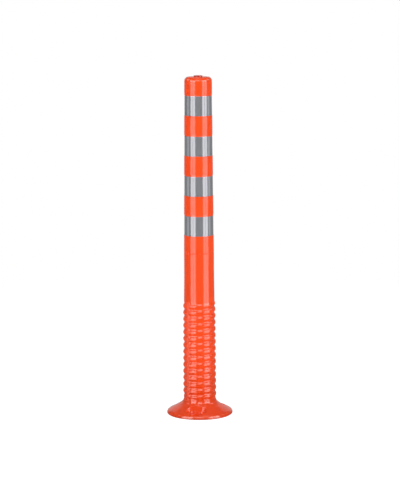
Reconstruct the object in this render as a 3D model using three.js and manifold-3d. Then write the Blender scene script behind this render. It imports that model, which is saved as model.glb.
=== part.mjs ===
// Flexible delineator post, 1 m tall. Millimetres, +Z up.
// The origin is the centre of the underside. The front is -Y, and azimuths turn from it towards +X.
// The post is one hollow elastomer moulding. It is modelled as a base flange, four lengths of ribbed
// flex section and a tapered tube, with four reflective bands round the tube and a vent plug on top.

import * as THREE from "three";
import { mergeVertices } from "three/addons/utils/BufferGeometryUtils.js";
import Module from "manifold-3d";

const wasm = await Module();
wasm.setup();

// Fineness
const SIDES = 48;
const RIB_SIDES = 40;
const ARC_STEPS = 4;

// Overall
const HEIGHT = 1000;
const GAP = 0.3;
const BORE_RADIUS = 40.2;

// Base flange
const RIM_RADIUS = 97;
const RIM_HEIGHT = 5;
const NECK_RADIUS = 48;
const FLEX_BOTTOM = 42;
const HUB_RADIUS = 52;
const RIM_INNER_RADIUS = 87;
const UNDERSIDE_RIB = 4;
const UNDERSIDE_RIB_AZIMUTHS = [45, 60, 75];

// Bolt pockets
const POCKET_AZIMUTHS = [-8, 112, 232];
const BOLT_CIRCLE_RADIUS = 76;
const BOLT_HOLE_RADIUS = 7;
const SEAT_HEIGHT = 11;
const LEDGE_HEIGHT = 16.5;
// Half width, distance of the back from the axis, corner radius.
const POCKET = { half: 28, back: 58, corner: 14 };
const SEAT = { half: 18, back: 60, corner: 5 };
const BOSS_WALL = 5;

// Flex section
const FLEX_TOP = 338;
const FLEX_COUNT = 4;
const RIB_PITCH = 19.6;
const RIB_CREST_HEIGHT_AT_SIDE = -0.2;
const RIB_OUT = 2.4;
const RIB_IN = 0.8;
const RIB_RUN_OUT = 12;
const RIB_PROFILE = [[0.17, 1], [0.4, 0], [0.6, 0], [0.83, 1]]; // share of the pitch, share of the rib
const WALL_RADIUS_BOTTOM = 46.6;
const WALL_RADIUS_TOP = 44.9;
const NECK_FLARE = 1.4;
const NECK_FLARE_LENGTH = 10;

// Post tube
const WALL = 3.6;
const TOP_RADIUS = 40.2;
const BAND_ZONE_RADIUS = 43.7;
const LOWER_RADIUS = 44.1;
const FLARE_START = 420;
const SHOULDER_RADIUS = 12;
const PLUG_RISE = 3.5;
const TOP_FACE = HEIGHT - PLUG_RISE;
const TOP_WALL = 5;

// Reflective bands
const BAND_COUNT = 4;
const BAND_HEIGHT = 58;
const BAND_PITCH = 116.8;
const BAND_ZONE_BOTTOM = 534;
const RECESS_DEPTH = 1.3;
const FILM_THICKNESS = 0.5;
const RING_CHAMFER = 0.7;
const RING_CHAMFER_HEIGHT = 4.7;

// Vent plug
const PLUG_HEAD_RADIUS = 12.8;
const PLUG_STEM_RADIUS = 8;
const PLUG_BARB_RADIUS = 9.3;

const degrees = (angle) => (angle * Math.PI) / 180;
const mix = (a, b, share) => a + (b - a) * share;
const clamp01 = (value) => Math.min(1, Math.max(0, value));

function material(name, color, roughness, metalness) {
  return new THREE.MeshStandardMaterial({ name, color, roughness, metalness });
}

const orangeMoulding = material("orange_moulding", 0xf5461c, 0.4, 0);
const reflectiveFilm = material("reflective_film", 0x9a9ca2, 0.3, 0.6);
const plugPlastic = material("plug_plastic", 0xd94a1c, 0.45, 0);

// A closed geometry as a solid that can be joined and cut.
function solid(geometry) {
  const bare = geometry.clone();
  bare.deleteAttribute("normal");
  bare.deleteAttribute("uv");
  const merged = mergeVertices(bare, 1e-4);
  return new wasm.Manifold(new wasm.Mesh({
    numProp: 3,
    vertProperties: new Float32Array(merged.attributes.position.array),
    triVerts: new Uint32Array(merged.index.array),
  }));
}

// A solid as a geometry again.
function geometryOf(shape) {
  const { vertProperties, triVerts } = shape.getMesh();
  const geometry = new THREE.BufferGeometry();
  geometry.setAttribute("position", new THREE.BufferAttribute(new Float32Array(vertProperties), 3));
  geometry.setIndex(new THREE.BufferAttribute(new Uint32Array(triVerts), 1));
  geometry.computeVertexNormals();
  return geometry;
}

// A body turned about +Z, from a closed outline of [radius, height] points that runs up the outside.
function turned(outline, sides = SIDES) {
  const points = [...outline, outline[0]].map(([radius, height]) => new THREE.Vector2(radius, height));
  return new THREE.LatheGeometry(points, sides).rotateX(Math.PI / 2);
}

// A plan outline with x across and y towards the post's axis, raised between two heights.
function raised(shape, bottom, top, azimuth) {
  const geometry = new THREE.ExtrudeGeometry(shape, {
    depth: top - bottom,
    bevelEnabled: false,
    curveSegments: 2 * ARC_STEPS,
  });
  return geometry.translate(0, 0, bottom).rotateZ(degrees(azimuth));
}

// Base flange ------------------------------------------------------------------------------------

// The cone's outline, from the foot of the rim to the neck.
const flangeTop = [
  [RIM_RADIUS, 0],
  [RIM_RADIUS, RIM_HEIGHT],
  [95.3, 8.6],
  [90, 12.7],
  [60, 29.4],
  [53.5, 33.6],
  [50, 37.2],
  [NECK_RADIUS, FLEX_BOTTOM - GAP / 2],
];

// A slot that is open towards the rim, with two rounded corners at its back.
function slotShape({ half, back, corner }, grow = 0) {
  const front = RIM_RADIUS + 10;
  const side = half + grow;
  const end = back - grow;
  const radius = corner + grow;
  const shape = new THREE.Shape();
  shape.moveTo(-side, -front);
  shape.lineTo(side, -front);
  shape.lineTo(side, -end - radius);
  shape.absarc(side - radius, -end - radius, radius, 0, Math.PI / 2, false);
  shape.lineTo(radius - side, -end);
  shape.absarc(radius - side, -end - radius, radius, Math.PI / 2, Math.PI, false);
  return shape;
}

function boltHole(azimuth) {
  const height = 2 * FLEX_BOTTOM;
  const geometry = new THREE.CylinderGeometry(BOLT_HOLE_RADIUS, BOLT_HOLE_RADIUS, height, 24);
  return geometry.rotateX(Math.PI / 2).translate(0, -BOLT_CIRCLE_RADIUS, 0).rotateZ(degrees(azimuth));
}

function undersideRib(azimuth) {
  const length = RIM_RADIUS - HUB_RADIUS + 10;
  const middle = (RIM_RADIUS + HUB_RADIUS) / 2;
  const rib = new THREE.BoxGeometry(UNDERSIDE_RIB, length, 2 * FLEX_BOTTOM);
  return rib.translate(0, -middle, 0).rotateZ(degrees(azimuth));
}

// The hollow under the cone, less the bosses under the pockets and the radial ribs.
function undersideHollow() {
  let hollow = solid(turned([
    [HUB_RADIUS, -1],
    [RIM_INNER_RADIUS, -1],
    [RIM_INNER_RADIUS, 8.5],
    [HUB_RADIUS, 27],
  ]));
  for (const azimuth of POCKET_AZIMUTHS) {
    const boss = raised(slotShape(POCKET, BOSS_WALL), -5, FLEX_BOTTOM, azimuth);
    hollow = hollow.subtract(solid(boss));
    for (const offset of UNDERSIDE_RIB_AZIMUTHS) {
      hollow = hollow.subtract(solid(undersideRib(azimuth + offset)));
    }
  }
  return hollow;
}

function baseFlange() {
  let flange = solid(turned([
    [BORE_RADIUS, 0],
    ...flangeTop,
    [BORE_RADIUS, FLEX_BOTTOM - GAP / 2],
  ]));
  flange = flange.subtract(undersideHollow());
  for (const azimuth of POCKET_AZIMUTHS) {
    flange = flange
      .subtract(solid(raised(slotShape(POCKET), LEDGE_HEIGHT, 2 * FLEX_BOTTOM, azimuth)))
      .subtract(solid(raised(slotShape(SEAT), SEAT_HEIGHT, 2 * FLEX_BOTTOM, azimuth)))
      .subtract(solid(boltHole(azimuth)));
  }
  return geometryOf(flange);
}

// Flex section -----------------------------------------------------------------------------------

// The plain wall's radius, flared where it meets the cone.
function flexWallRadius(height) {
  const share = clamp01((height - FLEX_BOTTOM) / (FLEX_TOP - FLEX_BOTTOM));
  const flare = clamp01(1 - (height - FLEX_BOTTOM) / NECK_FLARE_LENGTH) ** 2;
  return mix(WALL_RADIUS_BOTTOM, WALL_RADIUS_TOP, share) + NECK_FLARE * flare;
}

// How much of the rib is left at a height: it runs out at both ends.
function ribShare(height) {
  const fromEnd = Math.min(height - FLEX_BOTTOM - 4, FLEX_TOP + 2 - height);
  return clamp01(fromEnd / RIB_RUN_OUT);
}

// The ribbed surface, filled to the axis. Its rows of points climb with the rib, so that after one
// turn a row meets the row that is one whole profile above it.
function ribbedCore() {
  const rowsPerTurn = RIB_PROFILE.length;
  const turnsBelow = Math.floor(FLEX_BOTTOM / RIB_PITCH) - 2;
  const turns = Math.ceil((FLEX_TOP - FLEX_BOTTOM) / RIB_PITCH) + 3;
  const rows = turns * rowsPerTurn;
  const positions = [];
  for (let row = 0; row <= rows + rowsPerTurn; row++) {
    const [phase, rib] = RIB_PROFILE[row % rowsPerTurn];
    const turn = turnsBelow + Math.floor(row / rowsPerTurn) + phase;
    for (let side = 0; side < RIB_SIDES; side++) {
      const share = side / RIB_SIDES;
      const height = RIB_CREST_HEIGHT_AT_SIDE + RIB_PITCH * (turn + share);
      const step = mix(-RIB_IN, RIB_OUT, rib) * ribShare(height);
      const radius = flexWallRadius(height) + step;
      positions.push(radius * Math.cos(2 * Math.PI * share), radius * Math.sin(2 * Math.PI * share), height);
    }
  }
  const at = (row, side) => (side < RIB_SIDES ? row * RIB_SIDES + side : (row + rowsPerTurn) * RIB_SIDES);
  const bottom = positions.length / 3;
  const top = bottom + 1;
  positions.push(0, 0, RIB_PITCH * turnsBelow, 0, 0, RIB_PITCH * (turnsBelow + turns + 2));
  const triangles = [];
  for (let side = 0; side < RIB_SIDES; side++) {
    for (let row = 0; row < rows; row++) {
      const [a, b] = [at(row, side), at(row, side + 1)];
      const [c, d] = [at(row + 1, side + 1), at(row + 1, side)];
      triangles.push(a, b, c, a, c, d);
    }
    triangles.push(bottom, at(0, side + 1), at(0, side));
    triangles.push(top, at(rows, side), at(rows, side + 1));
  }
  for (let row = 0; row < rowsPerTurn; row++) {
    triangles.push(bottom, at(row, 0), at(row + 1, 0));
    triangles.push(top, at(rows + row + 1, 0), at(rows + row, 0));
  }
  const geometry = new THREE.BufferGeometry();
  geometry.setAttribute("position", new THREE.Float32BufferAttribute(positions, 3));
  geometry.setIndex(triangles);
  return solid(geometry);
}

// The lengths of the flex section, from the base up.
function flexSections() {
  const core = ribbedCore();
  const length = (FLEX_TOP - FLEX_BOTTOM) / FLEX_COUNT;
  const outside = NECK_RADIUS + 10;
  const sections = [];
  for (let index = 0; index < FLEX_COUNT; index++) {
    const bottom = FLEX_BOTTOM + index * length + GAP / 2;
    const top = bottom + length - GAP;
    const sleeve = turned([
      [BORE_RADIUS, bottom],
      [outside, bottom],
      [outside, top],
      [BORE_RADIUS, top],
    ], RIB_SIDES);
    sections.push(geometryOf(core.intersect(solid(sleeve))));
  }
  return sections;
}

// Post tube --------------------------------------------------------------------------------------

// The tube's outer radius, without its recesses.
function tubeRadius(height) {
  if (height < FLARE_START) {
    return mix(WALL_RADIUS_TOP, LOWER_RADIUS, (height - FLEX_TOP) / (FLARE_START - FLEX_TOP));
  }
  if (height < BAND_ZONE_BOTTOM) {
    return LOWER_RADIUS;
  }
  const share = (height - BAND_ZONE_BOTTOM) / (TOP_FACE - SHOULDER_RADIUS - BAND_ZONE_BOTTOM);
  return mix(BAND_ZONE_RADIUS, TOP_RADIUS, share);
}

// The bands' lower and upper edges, from the lowest band up.
const bands = Array.from({ length: BAND_COUNT }, (_, index) => {
  const low = BAND_ZONE_BOTTOM + index * BAND_PITCH;
  return { low, high: low + BAND_HEIGHT };
});

function recessOutline({ low, high }) {
  return [
    [tubeRadius(low), low],
    [tubeRadius(low) - RECESS_DEPTH, low],
    [tubeRadius(high) - RECESS_DEPTH, high],
    [tubeRadius(high) - RING_CHAMFER, high],
    [tubeRadius(high), high + RING_CHAMFER_HEIGHT],
  ];
}

function shoulderOutline() {
  return Array.from({ length: ARC_STEPS + 1 }, (_, step) => {
    const angle = (step / ARC_STEPS) * (Math.PI / 2);
    return [
      TOP_RADIUS - SHOULDER_RADIUS * (1 - Math.cos(angle)),
      TOP_FACE - SHOULDER_RADIUS * (1 - Math.sin(angle)),
    ];
  });
}

function postTube() {
  const bottom = FLEX_TOP + GAP / 2;
  const ceiling = TOP_FACE - TOP_WALL;
  const holeRadius = PLUG_STEM_RADIUS + GAP;
  const innerTop = TOP_FACE - SHOULDER_RADIUS;
  return turned([
    [tubeRadius(bottom), bottom],
    [tubeRadius(FLARE_START), FLARE_START],
    ...bands.flatMap(recessOutline),
    ...shoulderOutline(),
    [holeRadius, TOP_FACE],
    [holeRadius, ceiling],
    [TOP_RADIUS - SHOULDER_RADIUS, ceiling],
    [TOP_RADIUS - WALL, innerTop],
    [LOWER_RADIUS - WALL, FLARE_START],
    [tubeRadius(bottom) - WALL, bottom],
  ]);
}

function reflectiveBand({ low, high }) {
  const inner = (height) => tubeRadius(height) - RECESS_DEPTH + GAP;
  const [bottom, top] = [low + GAP, high - GAP];
  return turned([
    [inner(bottom), bottom],
    [inner(bottom) + FILM_THICKNESS, bottom],
    [inner(top) + FILM_THICKNESS, top],
    [inner(top), top],
  ]);
}

// Vent plug --------------------------------------------------------------------------------------

// A button head on a stem that snaps through the hole in the top, with a barb under the wall.
function ventPlug() {
  const underHead = TOP_FACE + GAP;
  const barbTop = TOP_FACE - TOP_WALL - GAP;
  const stemBottom = barbTop - 6;
  const edge = 1.5;
  return turned([
    [0, stemBottom],
    [PLUG_STEM_RADIUS - edge, stemBottom],
    [PLUG_BARB_RADIUS, barbTop - edge],
    [PLUG_BARB_RADIUS, barbTop],
    [PLUG_STEM_RADIUS, barbTop],
    [PLUG_STEM_RADIUS, underHead],
    [PLUG_HEAD_RADIUS, underHead],
    [PLUG_HEAD_RADIUS, HEIGHT - edge],
    [PLUG_HEAD_RADIUS - edge, HEIGHT],
    [0, HEIGHT],
  ], 24);
}

// Assembly ---------------------------------------------------------------------------------------

const post = new THREE.Group();

function addPart(name, geometry, finish) {
  const mesh = new THREE.Mesh(geometry, finish);
  mesh.name = name;
  post.add(mesh);
}

addPart("base_flange", baseFlange(), orangeMoulding);
flexSections().forEach((geometry, index) => addPart(`flex_section_${index + 1}`, geometry, orangeMoulding));
addPart("post_tube", postTube(), orangeMoulding);
bands.forEach((band, index) => {
  addPart(`reflective_band_${index + 1}`, reflectiveBand(band), reflectiveFilm);
});
addPart("vent_plug", ventPlug(), plugPlastic);

export default post;
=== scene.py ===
"""The flexible delineator post's looks: fine moulded surfaces, reflective films, studio and camera.

Metres, +Z up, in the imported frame. Azimuths are degrees from the front (-Y) towards +X.
"""

import math

import bpy
import numpy as np
from mathutils import Matrix, Vector


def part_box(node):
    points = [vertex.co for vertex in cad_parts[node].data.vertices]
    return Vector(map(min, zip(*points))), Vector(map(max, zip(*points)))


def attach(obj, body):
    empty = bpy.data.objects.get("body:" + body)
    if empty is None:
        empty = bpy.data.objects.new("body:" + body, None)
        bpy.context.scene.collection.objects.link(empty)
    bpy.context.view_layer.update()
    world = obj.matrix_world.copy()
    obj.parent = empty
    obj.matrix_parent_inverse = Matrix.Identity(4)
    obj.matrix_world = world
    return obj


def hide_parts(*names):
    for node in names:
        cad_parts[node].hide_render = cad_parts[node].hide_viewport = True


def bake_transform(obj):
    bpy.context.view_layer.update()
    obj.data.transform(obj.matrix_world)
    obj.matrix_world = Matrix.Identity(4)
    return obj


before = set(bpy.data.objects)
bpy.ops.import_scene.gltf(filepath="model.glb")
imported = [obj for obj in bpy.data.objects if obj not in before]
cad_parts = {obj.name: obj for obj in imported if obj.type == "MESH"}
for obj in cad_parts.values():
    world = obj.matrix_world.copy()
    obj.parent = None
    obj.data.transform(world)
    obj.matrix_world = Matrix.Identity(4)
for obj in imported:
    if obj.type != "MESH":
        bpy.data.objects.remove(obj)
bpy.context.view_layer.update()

MM = 0.001

# Places and sizes read from the frame -----------------------------------------------------------

flange_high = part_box("base_flange")[1]
flex_boxes = [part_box(f"flex_section_{n}") for n in (1, 2, 3, 4)]
tube_low, tube_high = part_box("post_tube")
band_boxes = [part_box(f"reflective_band_{n}") for n in (1, 2, 3, 4)]
plug_low, plug_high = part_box("vent_plug")

RIM_RADIUS = flange_high.x
FLEX_BOTTOM = (flange_high.z + flex_boxes[0][0].z) / 2
FLEX_TOP = (flex_boxes[-1][1].z + tube_low.z) / 2
FLEX_LENGTH = (FLEX_TOP - FLEX_BOTTOM) / len(flex_boxes)
BAND_GAP = 0.3 * MM
BANDS = [(low.z - BAND_GAP, high.z + BAND_GAP) for low, high in band_boxes]
TOP_FACE = tube_high.z
HEIGHT = plug_high.z

# Shape values -------------------------------------------------------------------------------------
# Most are the CAD's. Here the ribs are 0.1 mm higher and their grooves 0.1 mm deeper, and the films
# are 0.05 mm thinner and lie 0.15 mm closer to the tube.

BORE_RADIUS = 40.2 * MM
NECK_RADIUS = 48 * MM
HUB_RADIUS = 52 * MM
RIM_INNER_RADIUS = 87 * MM

POCKET_AZIMUTHS = (-8, 112, 232)
BOLT_CIRCLE_RADIUS = 76 * MM
BOLT_HOLE_RADIUS = 7 * MM
SEAT_HEIGHT = 11 * MM
LEDGE_HEIGHT = 16.5 * MM
HOLLOW_AT_HUB = 27 * MM
HOLLOW_AT_RIM = 8.5 * MM
# half width, distance of the back from the axis, corner radius
POCKET = 28 * MM, 58 * MM, 14 * MM
SEAT = 18 * MM, 60 * MM, 5 * MM
BOSS_WALL = 5 * MM
UNDERSIDE_RIB = 4 * MM
UNDERSIDE_RIB_AZIMUTHS = (45, 60, 75)

RIB_PITCH = 19.6 * MM
RIB_CREST_HEIGHT_AT_SIDE = -0.2 * MM
RIB_OUT = 2.5 * MM
RIB_IN = 0.9 * MM
RIB_RUN_OUT = 12 * MM
RIB_ROUNDNESS = 3.0
PARTING_AZIMUTH = -47
WALL_RADIUS_BOTTOM = 46.6 * MM
WALL_RADIUS_TOP = 44.9 * MM
NECK_FLARE = 1.4 * MM
NECK_FLARE_LENGTH = 10 * MM

WALL = 3.6 * MM
TOP_RADIUS = 40.2 * MM
BAND_ZONE_RADIUS = 43.7 * MM
LOWER_RADIUS = 44.1 * MM
FLARE_START = 420 * MM
SHOULDER_RADIUS = 12 * MM
TOP_WALL = 5 * MM
RECESS_DEPTH = 1.3 * MM
RING_CHAMFER = 0.7 * MM
RING_CHAMFER_HEIGHT = 4.7 * MM
FILM_THICKNESS = 0.45 * MM
FILM_STAND_OFF = 0.15 * MM
MOULD_LINES = (415 * MM, 0.25 * MM), (483 * MM, 0.8 * MM)  # height, depth
SEAM_AZIMUTHS = (168, 196, 174, -70)
CORNER_LIFT = 1.2 * MM  # of the top strip's end

# Studio values ------------------------------------------------------------------------------------

LIGHT_DISTANCE = 3.2
PANEL_GAP = 1.3  # degrees from a softbox's middle to the edge of each of its panels


# Numbers ------------------------------------------------------------------------------------------

def mix(a, b, share):
    return a + (b - a) * share


def smoothstep(low, high, value):
    share = np.clip((value - low) / (high - low), 0, 1)
    return share * share * (3 - 2 * share)


def soft_max(a, b, blend):
    """The larger of a and b, with the crease between them rounded over about blend."""
    h = np.clip(0.5 + 0.5 * (a - b) / blend, 0, 1)
    return mix(b, a, h) + blend * h * (1 - h)


def soft_min(a, b, blend):
    return -soft_max(-a, -b, blend)


# Mesh building ------------------------------------------------------------------------------------

def around(radius, height, azimuth):
    """Points at radius, height and azimuth (radians from the front), broadcast together."""
    radius, height, azimuth = np.broadcast_arrays(radius, height, azimuth)
    return np.stack([radius * np.sin(azimuth), -radius * np.cos(azimuth), height], -1)


def full_turn(count):
    return np.arange(count) * (2 * math.pi / count)


def new_piece(name, points, faces, sharp=40):
    """A smooth-shaded mesh object, creased where faces meet at over sharp degrees."""
    mesh = bpy.data.meshes.new(name)
    mesh.from_pydata(points.reshape(-1, 3).tolist(), [], faces)
    mesh.shade_smooth()
    mesh.set_sharp_from_angle(angle=math.radians(sharp))
    piece = bpy.data.objects.new(name, mesh)
    bpy.context.scene.collection.objects.link(piece)
    return piece


def keep_rest_places(piece):
    """Stores each point's rest place, so that patterns stay on the surface as the post bends."""
    mesh = piece.data
    places = np.empty(len(mesh.vertices) * 3, np.float32)
    mesh.vertices.foreach_get("co", places)
    attribute = mesh.attributes.new("rest_place", "FLOAT_VECTOR", "POINT")
    attribute.data.foreach_set("vector", places)


def loop_faces(rows, sides):
    """Quads of a closed outline of rows points carried round sides places."""
    row, side = np.meshgrid(np.arange(rows), np.arange(sides), indexing="ij")
    up, on = (row + 1) % rows, (side + 1) % sides
    quads = np.stack([row * sides + side, row * sides + on, up * sides + on, up * sides + side], -1)
    return quads.reshape(-1, 4).tolist()


def arc(start, corner, end, radius, steps):
    """The round that replaces a corner between two straights, as steps + 1 points."""
    a, b = np.subtract(start, corner), np.subtract(end, corner)
    a_length, b_length = np.hypot(*a), np.hypot(*b)
    a, b = a / a_length, b / b_length
    half = math.acos(float(np.clip(a @ b, -1, 1))) / 2
    if half > math.radians(89):
        return [np.asarray(corner, float)]
    reach = min(radius / math.tan(half), 0.45 * a_length, 0.45 * b_length)
    radius = reach * math.tan(half)
    middle = np.asarray(corner) + (a + b) / np.hypot(*(a + b)) * radius / math.sin(half)
    first = np.asarray(corner) + a * reach - middle
    last = np.asarray(corner) + b * reach - middle
    turn = math.pi - 2 * half
    points = []
    for step in range(steps + 1):
        share = step / steps
        weight_a = math.sin((1 - share) * turn) / math.sin(turn)
        weight_b = math.sin(share * turn) / math.sin(turn)
        points.append(middle + weight_a * first + weight_b * last)
    return points


def outline(corners, steps=5, hold=0.5 * MM):
    """A closed outline from (radius, height, rounding) corners.

    A point is held close to each round's ends, so that the straights between them shade flat.
    """
    rounds = []
    count = len(corners)
    for n, (radius, height, rounding) in enumerate(corners):
        before, after = corners[n - 1][:2], corners[(n + 1) % count][:2]
        if rounding:
            rounds.append(arc(before, (radius, height), after, rounding, steps))
        else:
            rounds.append([np.array((radius, height), float)])
    points = []
    for n, one in enumerate(rounds):
        points.extend(one)
        start, end = one[-1], rounds[(n + 1) % count][0]
        length = np.hypot(*(end - start))
        if length > 3 * hold:
            points.append(mix(start, end, hold / length))
            points.append(mix(end, start, hold / length))
    return np.array(points)


def turned(name, corners, sides=192, steps=5, hold=0.5 * MM, sharp=40):
    """A closed body turned about the post's axis."""
    points = outline(corners, steps, hold)
    grid = around(points[:, :1], points[:, 1:], full_turn(sides)[None])
    return new_piece(name, grid, loop_faces(len(points), sides), sharp)


# Base flange --------------------------------------------------------------------------------------

def cone_outline():
    """The flange's top from the foot of the rim to the neck, evenly and finely stepped."""
    corners = [
        (RIM_RADIUS - 1.6 * MM, 0.0, 0),
        (RIM_RADIUS, 1.6 * MM, 1.2 * MM),
        (RIM_RADIUS, 5.2 * MM, 1.5 * MM),
        (95.3 * MM, 8.9 * MM, 3 * MM),
        (90 * MM, 12.7 * MM, 8 * MM),
        (60 * MM, 29.4 * MM, 25 * MM),
        (51.5 * MM, 35.2 * MM, 12 * MM),
        (NECK_RADIUS, FLEX_BOTTOM, 0),
    ]
    points = [np.array(corners[0][:2])]
    for before, corner, after in zip(corners, corners[1:], corners[2:]):
        points.extend(arc(before[:2], corner[:2], after[:2], corner[2], 8))
    points.append(np.array(corners[-1][:2]))
    points = np.array(points)
    length = np.r_[0, np.cumsum(np.hypot(*np.diff(points, axis=0).T))]
    places = np.arange(0, length[-1], 0.6 * MM)
    places = np.r_[places, length[-1]]
    return np.stack([np.interp(places, length, points[:, k]) for k in (0, 1)], -1)


def flange_azimuths():
    """Azimuths round the flange, closer together across the bolt pockets."""
    fine, coarse, half = 0.5, 1.0, 28
    found = []
    for pocket in POCKET_AZIMUTHS:
        found.append(np.arange(pocket - half, pocket + half, fine))
        found.append(np.arange(pocket + half, pocket + 120 - half, coarse))
    return np.radians(np.concatenate(found))


def slot_distance(across, out, half, back, corner):
    """How far outside a slot a point is, negative inside. The slot is open outwards."""
    side = np.abs(across) - half + corner
    deep = back + corner - out
    outside = np.hypot(np.maximum(side, 0), np.maximum(deep, 0))
    return outside + np.minimum(np.maximum(side, deep), 0) - corner


def pocket_places(radius, azimuth, pocket):
    """Places across and out from the axis, in one pocket's own directions."""
    turn = azimuth - math.radians(pocket)
    return radius * np.sin(turn), radius * np.cos(turn)


def cut_pockets(radius, height, azimuth):
    """The flange's top height with its three bolt pockets let in."""
    wall_slope, seat_wall_slope = 5.0, 9.0
    edge = 1.2 * MM
    for pocket in POCKET_AZIMUTHS:
        across, out = pocket_places(radius, azimuth, pocket)
        wall = wall_slope * slot_distance(across, out, *POCKET)
        seat_wall = seat_wall_slope * slot_distance(across, out, *SEAT)
        ledge = LEDGE_HEIGHT + soft_max(wall, 0, 1.2 * MM)
        seat = SEAT_HEIGHT + soft_max(seat_wall, 0, 0.8 * MM)
        lowered = soft_min(soft_min(height, ledge, 1.4 * MM), seat, 1.0 * MM)
        from_hole = np.hypot(across, out - BOLT_CIRCLE_RADIUS)
        level = smoothstep(BOLT_HOLE_RADIUS, BOLT_HOLE_RADIUS + 1.6 * MM, from_hole)
        hole_edge = np.minimum(lowered, SEAT_HEIGHT - edge * (1 - level))
        lowered = np.where(from_hole < BOLT_HOLE_RADIUS + 2 * MM, hole_edge, lowered)
        height = np.where(out > 0, lowered, height)
    return height


def underside_height(radius, azimuth):
    """The underside: a hollow under the cone between hub and rim, with bosses and radial ribs."""
    wall_slope = 5.0
    share = (radius - HUB_RADIUS) / (RIM_INNER_RADIUS - HUB_RADIUS)
    ceiling = mix(HOLLOW_AT_HUB, HOLLOW_AT_RIM, share)
    inside = np.minimum(radius - HUB_RADIUS, RIM_INNER_RADIUS - radius)
    half, back, corner = POCKET
    boss_slot = half + BOSS_WALL, back - BOSS_WALL, corner + BOSS_WALL
    for pocket in POCKET_AZIMUTHS:
        across, out = pocket_places(radius, azimuth, pocket)
        boss = np.where(out > 0, slot_distance(across, out, *boss_slot), 1.0)
        inside = np.minimum(inside, boss)
        for offset in UNDERSIDE_RIB_AZIMUTHS:
            across, out = pocket_places(radius, azimuth, pocket + offset)
            rib = np.where(out > 0, np.abs(across) - UNDERSIDE_RIB / 2, 1.0)
            inside = np.minimum(inside, rib)
    rise = soft_min(wall_slope * np.maximum(inside, 0), ceiling, 1.5 * MM)
    return np.where(inside > 0, np.maximum(rise, 0), 0.0)


def drill(piece, places, radius, low, high):
    """Cuts round holes through a piece."""
    sides = 48
    turn = full_turn(sides)
    points, faces = [], []
    for x, y in places:
        start = len(points)
        for z in (low, high):
            points += [(x + radius * math.cos(a), y + radius * math.sin(a), z) for a in turn]
        for n in range(sides):
            m = (n + 1) % sides
            faces.append((start + n, start + m, start + sides + m, start + sides + n))
        faces.append(tuple(start + n for n in reversed(range(sides))))
        faces.append(tuple(start + sides + n for n in range(sides)))
    cutter = new_piece("cutter", np.array(points), faces)
    cut = piece.modifiers.new("cut", "BOOLEAN")
    cut.operation, cut.object, cut.solver = "DIFFERENCE", cutter, "MANIFOLD"
    bpy.context.view_layer.update()
    evaluated = piece.evaluated_get(bpy.context.evaluated_depsgraph_get())
    done = bpy.data.meshes.new_from_object(evaluated)
    piece.modifiers.remove(cut)
    piece.data = done
    bpy.data.objects.remove(cutter)
    done.shade_smooth()
    done.set_sharp_from_angle(angle=math.radians(50))


def make_flange():
    azimuth = flange_azimuths()[None]
    cone = cone_outline()
    top_radius, top_height = cone[:, :1], cone[:, 1:]
    top = around(top_radius, cut_pockets(top_radius, top_height, azimuth), azimuth)
    low_radius = np.r_[
        np.linspace(BORE_RADIUS + 0.5 * MM, HUB_RADIUS - 0.5 * MM, 4),
        np.arange(HUB_RADIUS, RIM_INNER_RADIUS, 0.9 * MM),
        np.linspace(RIM_INNER_RADIUS, RIM_RADIUS - 2.2 * MM, 6),
    ][:, None]
    under = around(low_radius, underside_height(low_radius, azimuth), azimuth)
    bore_height = np.linspace(FLEX_BOTTOM, 0.6 * MM, 12)[:, None]
    bore = around(BORE_RADIUS, bore_height, azimuth)
    grid = np.concatenate([under, top, bore])
    piece = new_piece("base_flange_moulding", grid, loop_faces(len(grid), grid.shape[1]), 50)
    places = [
        (BOLT_CIRCLE_RADIUS * math.sin(a), -BOLT_CIRCLE_RADIUS * math.cos(a))
        for a in map(math.radians, POCKET_AZIMUTHS)
    ]
    drill(piece, places, BOLT_HOLE_RADIUS, -5 * MM, FLEX_BOTTOM)
    return piece


# Flex section -------------------------------------------------------------------------------------

def flex_radius(height, azimuth):
    """The ribbed surface: one right-handed helical rib, full at the crest, tighter in the groove."""
    share = np.clip((height - FLEX_BOTTOM) / (FLEX_TOP - FLEX_BOTTOM), 0, 1)
    flare = np.clip(1 - (height - FLEX_BOTTOM) / NECK_FLARE_LENGTH, 0, 1) ** 2
    wall = mix(WALL_RADIUS_BOTTOM, WALL_RADIUS_TOP, share) + NECK_FLARE * flare
    turn = (azimuth - math.pi / 2) / (2 * math.pi)
    phase = (height - RIB_CREST_HEIGHT_AT_SIDE) / RIB_PITCH - turn
    ridge = 1 - np.abs(np.sin(math.pi * phase)) ** RIB_ROUNDNESS
    from_end = np.minimum(height - FLEX_BOTTOM - 4 * MM, FLEX_TOP + 2 * MM - height)
    run_in = smoothstep(0, RIB_RUN_OUT, from_end)
    step = mix(-RIB_IN, RIB_OUT, ridge) * run_in
    # The halves of the mould meet in a flat strip across the ribs, with a fine ridge beside it.
    seam = (azimuth - math.radians(PARTING_AZIMUTH) + math.pi / 2) % math.pi - math.pi / 2
    flat = smoothstep(math.radians(7.5), math.radians(4.0), np.abs(seam))
    flash = np.exp(-(((seam - math.radians(8.0)) / math.radians(0.8)) ** 2))
    return wall + mix(step, 1.4 * MM * run_in, 0.85 * flat) + 0.4 * MM * flash * run_in


def make_flex_section(number):
    """One bending length of the flex section, a closed sleeve."""
    low = FLEX_BOTTOM + (number - 1) * FLEX_LENGTH
    high = low + FLEX_LENGTH
    azimuth = full_turn(288)[None]
    end = 0.15 * MM
    up = np.r_[low, np.linspace(low + end, high - end, 88), high][:, None]
    outside = around(flex_radius(up, azimuth), up, azimuth)
    down = np.linspace(high, low, 24)[:, None]
    inside = around(BORE_RADIUS, down, azimuth)
    grid = np.concatenate([outside, inside])
    return new_piece(f"flex_moulding_{number}", grid, loop_faces(len(grid), grid.shape[1]), 60)


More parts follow.
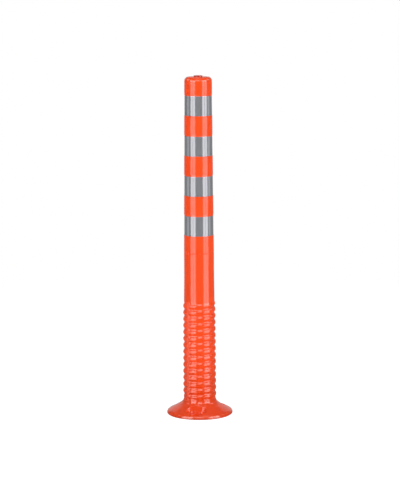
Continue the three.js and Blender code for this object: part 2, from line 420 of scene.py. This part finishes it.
# Post tube ----------------------------------------------------------------------------------------

def tube_radius(height):
    """The tube's outer radius, without its recesses."""
    if height < FLARE_START:
        share = (height - FLEX_TOP) / (FLARE_START - FLEX_TOP)
        return mix(WALL_RADIUS_TOP, LOWER_RADIUS, share)
    if height < BANDS[0][0] - MM:
        return LOWER_RADIUS
    share = (height - BANDS[0][0]) / (TOP_FACE - SHOULDER_RADIUS - BANDS[0][0])
    return mix(BAND_ZONE_RADIUS, TOP_RADIUS, share)


def mould_line(height, depth, width=2.6 * MM):
    """A shallow line left round the tube by the mould."""
    radius = tube_radius(height)
    return [
        (radius, height - width / 2, 0.4 * MM),
        (radius - depth, height, 0.4 * MM),
        (radius, height + width / 2, 0.4 * MM),
    ]


def recess(low, high):
    """The tube's corners at one recess, up to the chamfer of the ring above it."""
    return [
        (tube_radius(low), low, 0.7 * MM),
        (tube_radius(low) - RECESS_DEPTH, low, 0.2 * MM),
        (tube_radius(high) - RECESS_DEPTH, high, 0.2 * MM),
        (tube_radius(high) - RING_CHAMFER, high, 0.3 * MM),
        (tube_radius(high), high + RING_CHAMFER_HEIGHT, 1.5 * MM),
    ]


def make_tube():
    corners = [(tube_radius(FLEX_TOP), FLEX_TOP, 0)]
    for height, depth in MOULD_LINES:
        corners += mould_line(height, depth)
    for low, high in BANDS:
        corners += recess(low, high)
    hole = 8.3 * MM
    ceiling = TOP_FACE - TOP_WALL
    corners += [
        (TOP_RADIUS, TOP_FACE, SHOULDER_RADIUS),
        (hole + 5.2 * MM, TOP_FACE, 0.3 * MM),
        (hole + 4.6 * MM, TOP_FACE - 0.25 * MM, 0.3 * MM),
        (hole, TOP_FACE - 0.25 * MM, 0.2 * MM),
        (hole, ceiling, 0.2 * MM),
        (TOP_RADIUS - WALL, ceiling, 6 * MM),
        (LOWER_RADIUS - WALL, FLARE_START, 0),
        (tube_radius(FLEX_TOP) - WALL, FLEX_TOP, 0),
    ]
    return turned("post_tube_moulding", corners, sides=224, steps=6)


# Reflective bands ---------------------------------------------------------------------------------

def make_film(number, low, high, seam, overlap=9.0, lift=0.0):
    """One strip of film wrapped once round its recess. Its end laps over its start at the seam."""
    edge = 0.35 * MM
    low, high = low + edge, high - edge
    start = math.radians(seam)
    lap_start, lap_end = 2 * math.pi - math.radians(4), 2 * math.pi + math.radians(overlap)
    turn = np.concatenate([
        np.linspace(0, math.radians(overlap + 4), 24),
        np.linspace(math.radians(overlap + 4), lap_start, 200)[1:],
        np.linspace(lap_start, lap_end, 40)[1:],
    ])
    base = np.array([tube_radius(z) - RECESS_DEPTH for z in (low, high)]) + FILM_STAND_OFF
    rows = np.array([0.0, 0.004, 0.03, 0.25, 0.5, 0.75, 0.97, 0.996, 1.0])
    height = mix(low, high, rows)
    inner = mix(base[0], base[1], rows)
    over = FILM_THICKNESS * smoothstep(2 * math.pi - math.radians(3), 2 * math.pi, turn)
    corner = smoothstep(2 * math.pi + math.radians(overlap * 0.3), turn[-1], turn)
    lifted = lift * corner[None] * (1 - smoothstep(0, 0.18, rows))[:, None]
    inside = inner[:, None] + over[None] + lifted
    outside = inside + FILM_THICKNESS * 0.95
    outside[[0, -1]] -= 0.1 * MM
    loop = np.concatenate([
        around(outside, height[:, None], (start + turn)[None]),
        around(inside[::-1], height[::-1, None], (start + turn)[None]),
    ])
    count, columns = loop.shape[:2]
    row, side = np.meshgrid(np.arange(count), np.arange(columns - 1), indexing="ij")
    up = (row + 1) % count
    quads = np.stack([
        row * columns + side,
        row * columns + side + 1,
        up * columns + side + 1,
        up * columns + side,
    ], -1).reshape(-1, 4).tolist()
    quads.append([n * columns for n in reversed(range(count))])
    quads.append([n * columns + columns - 1 for n in range(count)])
    return new_piece(f"reflective_film_{number}", loop, quads, 35)


# Vent plug ----------------------------------------------------------------------------------------

def make_plug():
    """The button: a dished head, and a barbed stem that holds it in the tube's top."""
    head = plug_high.x
    stem, barb = 8 * MM, 9.3 * MM
    foot = plug_low.z
    corners = [
        (0.0, foot, 0),
        (stem - 1.5 * MM, foot, 0.3 * MM),
        (barb, foot + 4.5 * MM, 0.3 * MM),
        (barb, foot + 6 * MM, 0.2 * MM),
        (stem, foot + 6 * MM, 0.2 * MM),
        (stem, TOP_FACE, 0.2 * MM),
        (head, TOP_FACE, 0.3 * MM),
        (head, HEIGHT, 1.7 * MM),
        (head * 0.42, HEIGHT, 0.5 * MM),
        (head * 0.36, HEIGHT - 0.7 * MM, 0.4 * MM),
        (0.0, HEIGHT - 0.7 * MM, 0),
    ]
    points = outline(corners, 5, 0.4 * MM)
    points = points[(points[:, 0] > 1e-6) | (np.arange(len(points)) == 0)]
    points[0, 0] = 0.05 * MM
    sides = 96
    grid = around(points[:, :1], points[:, 1:], full_turn(sides)[None])
    rows = len(points)
    faces = loop_faces(rows, sides)[: (rows - 1) * sides]
    faces.append(list(reversed(range(sides))))
    faces.append([(rows - 1) * sides + n for n in range(sides)])
    return new_piece("vent_plug_button", grid, faces, 40)


# Materials ----------------------------------------------------------------------------------------

class Nodes:
    """A short way to write a material's nodes."""

    def __init__(self, name):
        self.material = bpy.data.materials.new(name)
        self.material.use_nodes = True
        self.tree = self.material.node_tree
        self.shader = self.tree.nodes["Principled BSDF"]

    def add(self, kind, **settings):
        node = self.tree.nodes.new(kind)
        for key, value in settings.items():
            setattr(node, key, value)
        return node

    def link(self, source, target):
        self.tree.links.new(source, target)

    def place(self):
        """Each point's rest place, in metres."""
        return self.add("ShaderNodeAttribute", attribute_name="rest_place").outputs["Vector"]

    def stretched(self, place, scale):
        mapping = self.add("ShaderNodeMapping")
        mapping.inputs["Scale"].default_value = scale
        self.link(place, mapping.inputs["Vector"])
        return mapping.outputs["Vector"]

    def noise(self, place, scale, detail=2.0):
        node = self.add("ShaderNodeTexNoise")
        node.inputs["Scale"].default_value = scale
        node.inputs["Detail"].default_value = detail
        self.link(place, node.inputs["Vector"])
        return node.outputs["Fac"]

    def spread(self, value, low, high):
        """A noise value carried onto low to high."""
        node = self.add("ShaderNodeMapRange")
        node.inputs["From Min"].default_value = 0.3
        node.inputs["From Max"].default_value = 0.7
        node.inputs["To Min"].default_value = low
        node.inputs["To Max"].default_value = high
        self.link(value, node.inputs["Value"])
        return node.outputs["Result"]

    def blend(self, share, a, b):
        node = self.add("ShaderNodeMix", data_type="RGBA")
        self.link(share, node.inputs["Factor"])
        for socket, colour in ((node.inputs[6], a), (node.inputs[7], b)):
            if isinstance(colour, tuple):
                socket.default_value = (*colour, 1)
            else:
                self.link(colour, socket)
        return node.outputs[2]

    def bump(self, height, distance, strength=1.0, under=None):
        node = self.add("ShaderNodeBump")
        node.inputs["Distance"].default_value = distance
        node.inputs["Strength"].default_value = strength
        self.link(height, node.inputs["Height"])
        if under is not None:
            self.link(under, node.inputs["Normal"])
        return node.outputs["Normal"]


def moulded_plastic(name, colour, deep, roughness):
    """Semi-gloss moulded elastomer: slow colour drift, orange peel and a fine grain."""
    n = Nodes(name)
    place = n.place()
    drift = n.noise(place, 22, 3)
    n.link(n.blend(n.spread(drift, 0.0, 1.0), colour, deep), n.shader.inputs["Base Color"])
    gloss = n.noise(place, 60, 4)
    n.link(n.spread(gloss, roughness - 0.03, roughness + 0.04), n.shader.inputs["Roughness"])
    peel = n.bump(n.noise(place, 420, 2), 0.05 * MM, 0.5)
    waves = n.bump(n.noise(place, 45, 1), 0.12 * MM, 0.5, peel)
    n.link(waves, n.shader.inputs["Normal"])
    n.shader.inputs["Specular IOR Level"].default_value = 0.6
    return n.material


def silver_film():
    """Glass-bead retroreflective sheeting: a grey metallic ground under a smooth clear face."""
    n = Nodes("silver_film")
    place = n.place()
    streaks = n.noise(n.stretched(place, (1, 1, 0.04)), 160, 3)
    ground = n.blend(n.spread(streaks, 0.0, 1.0), (0.16, 0.165, 0.175), (0.19, 0.195, 0.205))
    beads = n.noise(place, 2600, 1)
    beaded = n.blend(n.spread(beads, 0.0, 0.25), ground, (0.115, 0.12, 0.13))
    n.link(beaded, n.shader.inputs["Base Color"])
    n.link(n.spread(n.noise(place, 90, 3), 0.06, 0.10), n.shader.inputs["Roughness"])
    ripple = n.noise(n.stretched(place, (1, 1, 0.15)), 60, 2)
    n.link(n.bump(ripple, 0.04 * MM, 0.5), n.shader.inputs["Normal"])
    n.shader.inputs["IOR"].default_value = 2.3
    n.shader.inputs["Specular Tint"].default_value = (0.93, 0.93, 1, 1)
    return n.material


# Studio -------------------------------------------------------------------------------------------

def make_world():
    """The surroundings: white to the camera, dark grey to matt surfaces, lighter grey to gloss."""
    world = bpy.data.worlds.new("studio")
    bpy.context.scene.world = world
    world.use_nodes = True
    tree = world.node_tree
    path = tree.nodes.new("ShaderNodeLightPath")
    shader = tree.nodes["Background"]
    shader.inputs["Color"].default_value = (0.12, 0.12, 0.125, 1)
    for ray, grey in (("Is Glossy Ray", 0.25), ("Is Camera Ray", 1.0)):
        seen = tree.nodes.new("ShaderNodeBackground")
        seen.inputs["Color"].default_value = (grey, grey, grey, 1)
        choose = tree.nodes.new("ShaderNodeMixShader")
        tree.links.new(path.outputs[ray], choose.inputs["Fac"])
        tree.links.new(shader.outputs[0], choose.inputs[1])
        tree.links.new(seen.outputs[0], choose.inputs[2])
        shader = choose
    tree.links.new(shader.outputs[0], tree.nodes["World Output"].inputs["Surface"])


def area_light(name, width, height, radiance):
    """A rectangular light with an even radiance, hidden from the camera."""
    light = bpy.data.lights.new(name, "AREA")
    light.shape, light.size, light.size_y = "RECTANGLE", width, height
    light.energy = radiance * math.pi * width * height
    box = bpy.data.objects.new(name, light)
    bpy.context.scene.collection.objects.link(box)
    box.visible_camera = False
    return box


def softbox(name, azimuth, spread, low, high, radiance, glossy=True, matt=True):
    """An upright softbox that faces the post and fills spread degrees about an azimuth."""
    width = 2 * LIGHT_DISTANCE * math.tan(math.radians(spread / 2))
    box = area_light(name, width, high - low, radiance)
    turn = math.radians(azimuth)
    across, out = LIGHT_DISTANCE * math.sin(turn), LIGHT_DISTANCE * math.cos(turn)
    box.location = (across, -out, (low + high) / 2)
    inward = Vector((-across, out, 0))
    box.rotation_euler = inward.to_track_quat("-Z", "Y").to_euler()
    box.visible_glossy = glossy
    box.visible_diffuse = matt
    return box


def high_light(name, azimuth, elevation, width, height, radiance):
    """A softbox that looks down at the post and shows only as a highlight."""
    box = area_light(name, width, height, radiance)
    turn, lift = math.radians(azimuth), math.radians(elevation)
    middle = Vector((0, 0, 0.5))
    box.location = middle + LIGHT_DISTANCE * Vector((
        math.sin(turn) * math.cos(lift),
        -math.cos(turn) * math.cos(lift),
        math.sin(lift),
    ))
    box.rotation_euler = (middle - box.location).to_track_quat("-Z", "Y").to_euler()
    box.visible_diffuse = False


def overhead(radiance, size=2.6, height=3.4):
    """A matt fill from above."""
    box = area_light("overhead", size, size, radiance)
    box.location = (0, 0, height)
    box.visible_glossy = False


def make_lights():
    """Two tall softboxes in front of the post, each of two panels side by side, and weaker fills.

    Returns the two edge strips, which light only chosen pieces.
    """
    for name, azimuth, half in (("left", -46.3, 20), ("right", 54.5, 20.5)):
        for panel, side in (("outer", -1), ("inner", 1)):
            middle, spread = azimuth + side * (half + PANEL_GAP) / 2, half - PANEL_GAP
            softbox(f"{name}_{panel}_panel", middle, spread, -0.3, 0.98, 3.0)
            softbox(f"{name}_{panel}_head", middle, spread, 1.0, 2.6, 6.5, matt=False)
        softbox(f"{name}_fill", azimuth, 2 * half, 1.0, 2.6, 3.5, glossy=False)
        softbox(f"{name}_foot", azimuth, 2 * half, -1.5, -0.32, 4.5)
    softbox("backdrop", 180, 60, -0.2, 2.8, 0.4)
    softbox("front_fill", 0, 60, -2.2, -0.1, 1.8, glossy=False)
    softbox("left_fill", -62, 30, -2.2, -0.1, 0.7, glossy=False)
    softbox("right_fill", 62, 30, -2.2, -0.1, 1.0, glossy=False)
    high_light("front_high", 0, 37, 1.6, 1.5, 3.8)
    high_light("top", 0, 88, 2.0, 2.0, 0.6)
    high_light("left_high", -100, 35, 1.6, 1.2, 1.6)
    high_light("right_high", 100, 35, 1.6, 1.2, 2.2)
    overhead(1.7)
    return [
        softbox("left_strip", -95, 20, -1.2, 2.4, 0.8),
        softbox("right_strip", 95, 20, -0.3, 2.4, 0.8),
    ]


def pale_floor_material():
    """Pale, bright to the camera, and fading out with distance from the post."""
    n = Nodes("pale_floor")
    n.shader.inputs["Base Color"].default_value = (0.4, 0.4, 0.4, 1)
    n.shader.inputs["Roughness"].default_value = 0.9
    n.shader.inputs["Emission Color"].default_value = (1, 1, 1, 1)
    glow = n.add("ShaderNodeMath", operation="MULTIPLY")
    glow.inputs[1].default_value = 0.85
    n.link(n.add("ShaderNodeLightPath").outputs["Is Camera Ray"], glow.inputs[0])
    n.link(glow.outputs["Value"], n.shader.inputs["Emission Strength"])
    length = n.add("ShaderNodeVectorMath", operation="LENGTH")
    n.link(n.add("ShaderNodeTexCoord").outputs["Object"], length.inputs[0])
    fade = n.add("ShaderNodeMapRange", interpolation_type="SMOOTHSTEP")
    fade.inputs["From Min"].default_value = 0.3
    fade.inputs["From Max"].default_value = 2.6
    n.link(length.outputs["Value"], fade.inputs["Value"])
    clear = n.add("ShaderNodeBsdfTransparent")
    choose = n.add("ShaderNodeMixShader")
    n.link(fade.outputs["Result"], choose.inputs["Fac"])
    n.link(n.shader.outputs["BSDF"], choose.inputs[1])
    n.link(clear.outputs["BSDF"], choose.inputs[2])
    n.link(choose.outputs["Shader"], n.tree.nodes["Material Output"].inputs["Surface"])
    return n.material


def round_sheet(name, radius, height, sides, material):
    """A flat round sheet about the post's axis, which doesn't show in reflections."""
    points = [(radius * math.sin(a), radius * math.cos(a), height) for a in full_turn(sides)]
    mesh = bpy.data.meshes.new(name)
    mesh.from_pydata(points, [], [list(reversed(range(sides)))])
    mesh.materials.append(material)
    sheet = bpy.data.objects.new(name, mesh)
    bpy.context.scene.collection.objects.link(sheet)
    sheet.visible_glossy = False
    return sheet


def make_floor():
    """A pale floor that casts no shadow, and a small unseen sheet under the post that does."""
    material = pale_floor_material()
    floor = round_sheet("floor", 3.0, 0, 96, material)
    floor.visible_shadow = False
    shade = round_sheet("contact_shade", 0.35, -0.5 * MM, 48, material)
    shade.visible_camera = shade.visible_diffuse = False


def make_camera():
    """A long lens from the front and a little above, rolled very slightly."""
    distance, height = 5.642, 1.368
    pitch, yaw, roll = (math.radians(a) for a in (8.861, 0.030, -0.31))
    forward = Vector((
        math.sin(yaw) * math.cos(pitch),
        math.cos(yaw) * math.cos(pitch),
        -math.sin(pitch),
    ))
    level = forward.cross(Vector((0, 0, 1))).normalized()
    upright = level.cross(forward)
    right = level * math.cos(roll) + upright * math.sin(roll)
    up = right.cross(forward)
    camera = bpy.data.objects.new("camera", bpy.data.cameras.new("camera"))
    camera.data.lens = 140.1
    camera.data.sensor_width = 36
    camera.matrix_world = Matrix((
        (right.x, up.x, -forward.x, 0),
        (right.y, up.y, -forward.y, -distance),
        (right.z, up.z, -forward.z, height),
        (0, 0, 0, 1),
    ))
    bpy.context.scene.collection.objects.link(camera)
    bpy.context.scene.camera = camera


# Assembly -----------------------------------------------------------------------------------------

def finish_piece(piece, material, node):
    """Gives a piece its material and slot, in place of its CAD node."""
    keep_rest_places(piece)
    piece.data.materials.clear()
    piece.data.materials.append(material)
    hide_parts(node)
    return piece


make_world()
strips = make_lights()
make_floor()
make_camera()
bpy.context.scene.view_settings.view_transform = "Standard"

orange = moulded_plastic("orange_moulding", (0.93, 0.069, 0.005), (0.90, 0.062, 0.004), 0.13)
plug_orange = moulded_plastic("plug_orange", (0.70, 0.052, 0.010), (0.62, 0.042, 0.008), 0.2)
film = silver_film()

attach(finish_piece(make_flange(), orange, "base_flange"), "base")

left_edge = bpy.data.collections.new("left_edge")
right_edge = bpy.data.collections.new("right_edge")

chain = ["base", "flex_a", "flex_b", "flex_c", "post"]
for number, (below, above) in enumerate(zip(chain, chain[1:]), 1):
    section = make_flex_section(number)
    left_edge.objects.link(section)
    finish_piece(section, orange, f"flex_section_{number}")
    low = FLEX_BOTTOM + (number - 1) * FLEX_LENGTH
    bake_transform(section)

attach(finish_piece(make_tube(), orange, "post_tube"), "post")

for number, ((low, high), seam) in enumerate(zip(BANDS, SEAM_AZIMUTHS), 1):
    lift = CORNER_LIFT if number == len(BANDS) else 0.0
    strip = make_film(number, low, high, seam, lift=lift)
    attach(finish_piece(strip, film, f"reflective_band_{number}"), "post")
    left_edge.objects.link(strip)
    right_edge.objects.link(strip)
for light, receivers in zip(strips, (left_edge, right_edge)):
    light.light_linking.receiver_collection = receivers

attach(finish_piece(make_plug(), plug_orange, "vent_plug"), "post")

bpy.context.view_layer.update()
